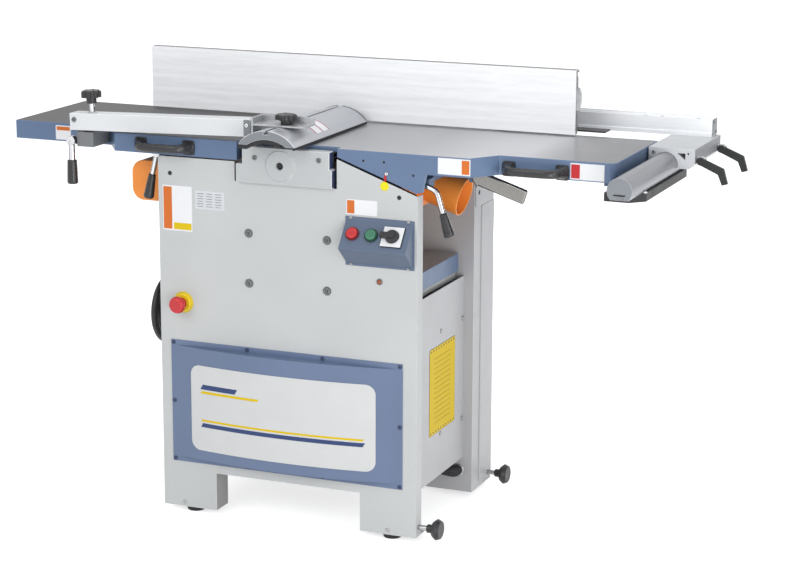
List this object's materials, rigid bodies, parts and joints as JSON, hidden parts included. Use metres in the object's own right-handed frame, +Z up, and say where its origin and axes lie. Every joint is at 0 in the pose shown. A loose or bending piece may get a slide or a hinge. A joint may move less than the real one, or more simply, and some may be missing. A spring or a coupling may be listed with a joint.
{
  "type": "planer thicknesser",
  "caption": "Planer thicknesser on a sheet-metal cabinet with tilting tables, sliding fence, bridge guard, orange dust hood, switch box and rising thicknesser table.",
  "frame": {"origin": "on the floor, under the middle of the machine's outline", "axes": "+X along the tables from outfeed to infeed, +Y from the operator's side to the back, +Z up"},
  "size_m": [1.691, 0.605, 1.0615],
  "materials": {
    "grey_paint": "satin",
    "blue_paint": "satin",
    "ground_iron": "ground",
    "machined_steel": "brushed",
    "chrome_rod": "polished",
    "aluminium": "anodised",
    "black_plastic": "matte",
    "black_paint": "satin",
    "rubber": "matte",
    "orange_plastic": "satin",
    "red_plastic": "gloss",
    "green_plastic": "gloss",
    "yellow_plastic": "gloss",
    "white_sheet": "satin"
  },
  "bodies": {
    "cabinet": {"front_sheet": "grey_paint", "rear_box": "grey_paint", "side_panel_left": "grey_paint", "side_panel_right": "grey_paint", "floor_plate": "grey_paint", "rubber_feet": "rubber", "front_cover": "blue_paint", "cover_window": "white_sheet", "fasteners": "machined_steel", "bearing_front": "grey_paint", "bearing_rear": "grey_paint", "hinge_brackets": "grey_paint", "hinge_pins": "machined_steel", "column_guide": "ground_iron", "drive_bracket": "ground_iron", "dust_hood": "orange_plastic", "switch_box": "blue_paint", "switch_bezels": "black_plastic", "emergency_base": "yellow_plastic"},
    "side_knob_front": {"side_knob_front": "black_plastic"},
    "side_knob_rear": {"side_knob_rear": "black_plastic"},
    "cutterblock": {"cutterblock": "machined_steel"},
    "feed_roller_in": {"feed_roller_in": "machined_steel"},
    "feed_roller_out": {"feed_roller_out": "rubber"},
    "saddle": {"infeed_saddle": "ground_iron"},
    "outfeed": {"outfeed_table": "ground_iron", "outfeed_handle": "black_plastic", "guard_bracket": "machined_steel"},
    "infeed": {"infeed_table": "ground_iron", "infeed_handle": "black_plastic", "guide_tube": "aluminium", "tube_bracket": "black_paint"},
    "depth_lever": {"depth_lever": "machined_steel"},
    "lock_left": {"lock_lever_left": "chrome_rod", "lock_grip_left": "black_plastic"},
    "lock_right": {"lock_lever_right": "chrome_rod", "lock_grip_right": "black_plastic"},
    "carriage": {"fence_carriage": "aluminium", "fence_beam": "aluminium", "fence_arms": "black_paint", "fence_cover": "black_paint"},
    "fence": {"fence": "aluminium"},
    "clamp_front": {"clamp_lever_front": "black_paint"},
    "clamp_rear": {"clamp_lever_rear": "black_paint"},
    "arm": {"guard_arm": "grey_paint", "guard_holder": "aluminium"},
    "height_knob": {"height_knob": "black_plastic"},
    "arm_lever": {"arm_lever": "chrome_rod", "arm_grip": "black_plastic"},
    "guard": {"guard": "aluminium", "guard_rubber": "rubber"},
    "guard_knob": {"guard_knob": "black_plastic"},
    "thicknesser": {"thicknesser_table": "ground_iron", "table_column": "machined_steel"},
    "lead_screw": {"lead_screw": "machined_steel"},
    "handwheel": {"handwheel": "black_plastic"},
    "stop_button": {"stop_button": "red_plastic"},
    "start_button": {"start_button": "green_plastic"},
    "selector": {"selector_knob": "black_plastic"},
    "emergency_button": {"emergency_button": "red_plastic"}
  },
  "joints": [
    {"name": "side_knob_front_turn", "type": "hinge", "parent": "cabinet", "child": "side_knob_front", "pos_m": [0.2245, -0.2095, 0.035], "axis": [1, 0, 0], "continuous": true},
    {"name": "side_knob_rear_turn", "type": "hinge", "parent": "cabinet", "child": "side_knob_rear", "pos_m": [0.2245, 0.2425, 0.035], "axis": [1, 0, 0], "continuous": true},
    {"name": "cutterblock_spin", "type": "hinge", "parent": "cabinet", "child": "cutterblock", "pos_m": [-0.1075, -0.1275, 0.859], "axis": [0, 1, 0], "continuous": true},
    {"name": "feed_roller_in_spin", "type": "hinge", "parent": "cabinet", "child": "feed_roller_in", "pos_m": [-0.0275, -0.1275, 0.8294], "axis": [0, 1, 0], "continuous": true},
    {"name": "feed_roller_out_spin", "type": "hinge", "parent": "cabinet", "child": "feed_roller_out", "pos_m": [-0.1875, -0.1275, 0.8294], "axis": [0, 1, 0], "continuous": true},
    {"name": "infeed_tilt", "type": "hinge", "parent": "cabinet", "child": "saddle", "pos_m": [0.0995, 0.2025, 0.873], "axis": [-1, 0, 0], "range_deg": [0, 88]},
    {"name": "outfeed_tilt", "type": "hinge", "parent": "cabinet", "child": "outfeed", "pos_m": [-0.3005, 0.2025, 0.873], "axis": [-1, 0, 0], "range_deg": [0, 88]},
    {"name": "infeed_depth", "type": "slide", "parent": "saddle", "child": "infeed", "axis": [0.9397, 0, -0.342], "range_m": [0, 0.01]},
    {"name": "depth_lever_turn", "type": "hinge", "parent": "infeed", "child": "depth_lever", "pos_m": [0.3295, -0.1275, 0.845], "axis": [0, 1, 0], "range_deg": [0, 25]},
    {"name": "lock_left_turn", "type": "hinge", "parent": "outfeed", "child": "lock_left", "pos_m": [-0.4385, -0.2075, 0.862], "axis": [0, 1, 0], "range_deg": [0, 70]},
    {"name": "lock_right_turn", "type": "hinge", "parent": "saddle", "child": "lock_right", "pos_m": [0.2215, -0.2075, 0.838], "axis": [0, -1, 0], "range_deg": [0, 45]},
    {"name": "fence_slide", "type": "slide", "parent": "infeed", "child": "carriage", "axis": [0, 1, 0], "range_m": [-0.26, 0]},
    {"name": "fence_tilt", "type": "hinge", "parent": "carriage", "child": "fence", "pos_m": [0.3595, 0.1695, 0.9285], "axis": [-1, 0, 0], "range_deg": [0, 45]},
    {"name": "clamp_front_turn", "type": "hinge", "parent": "carriage", "child": "clamp_front", "pos_m": [0.7815, 0.0935, 0.879], "axis": [0, 1, 0], "range_deg": [-30, 35]},
    {"name": "clamp_rear_turn", "type": "hinge", "parent": "carriage", "child": "clamp_rear", "pos_m": [0.7815, 0.2745, 0.879], "axis": [0, 1, 0], "range_deg": [-30, 35]},
    {"name": "arm_tilt", "type": "hinge", "parent": "outfeed", "child": "arm", "pos_m": [-0.6215, -0.2275, 0.922], "axis": [0, -1, 0], "range_deg": [0, 18]},
    {"name": "height_knob_turn", "type": "hinge", "parent": "arm", "child": "height_knob", "pos_m": [-0.5955, -0.2275, 0.922], "axis": [-0.0314, 0, 0.9995], "continuous": true},
    {"name": "arm_lever_turn", "type": "hinge", "parent": "outfeed", "child": "arm_lever", "pos_m": [-0.6405, -0.2475, 0.884], "axis": [0, 1, 0], "range_deg": [0, 60]},
    {"name": "guard_slide", "type": "slide", "parent": "arm", "child": "guard", "axis": [0, 1, 0], "range_m": [-0.26, 0]},
    {"name": "guard_knob_turn", "type": "hinge", "parent": "arm", "child": "guard_knob", "pos_m": [-0.1005, -0.2175, 0.955], "axis": [0, 0, 1], "continuous": true},
    {"name": "handwheel_turn", "type": "hinge", "parent": "cabinet", "child": "handwheel", "pos_m": [-0.5065, -0.0325, 0.445], "axis": [1, 0, 0], "range_deg": [-1800, 8550]},
    {"name": "lead_screw_turn", "type": "hinge", "parent": "cabinet", "child": "lead_screw", "pos_m": [-0.2005, -0.0325, 0.5], "axis": [0, 0, 1], "range_deg": [-1800, 8550]},
    {"name": "thicknesser_rise", "type": "slide", "parent": "cabinet", "child": "thicknesser", "axis": [0, 0, 1], "range_m": [-0.02, 0.095]},
    {"name": "stop_press", "type": "slide", "parent": "cabinet", "child": "stop_button", "axis": [0, 0.7859, -0.6184], "range_m": [0, 0.004], "stiffness_N_per_m": 600, "springref_m": -0.002},
    {"name": "start_press", "type": "slide", "parent": "cabinet", "child": "start_button", "axis": [0, 0.7859, -0.6184], "range_m": [0, 0.004], "stiffness_N_per_m": 600, "springref_m": -0.002},
    {"name": "selector_turn", "type": "hinge", "parent": "cabinet", "child": "selector", "pos_m": [0.1765, -0.2535, 0.7205], "axis": [0, -0.7859, 0.6184], "range_deg": [-60, 60]},
    {"name": "emergency_press", "type": "slide", "parent": "cabinet", "child": "emergency_button", "axis": [0, 1, 0], "range_m": [0, 0.004]}
  ],
  "couplings": [
    {"joint": "feed_roller_out_spin", "follows": "feed_roller_in_spin", "ratio": 1},
    {"joint": "outfeed_tilt", "follows": "infeed_tilt", "ratio": 1},
    {"joint": "depth_lever_turn", "follows": "infeed_depth", "rad_per_m": 43},
    {"joint": "guard_slide", "follows": "fence_slide", "ratio": 1},
    {"joint": "lead_screw_turn", "follows": "thicknesser_rise", "rad_per_m": 1570.8},
    {"joint": "handwheel_turn", "follows": "thicknesser_rise", "rad_per_m": 1570.8}
  ]
}
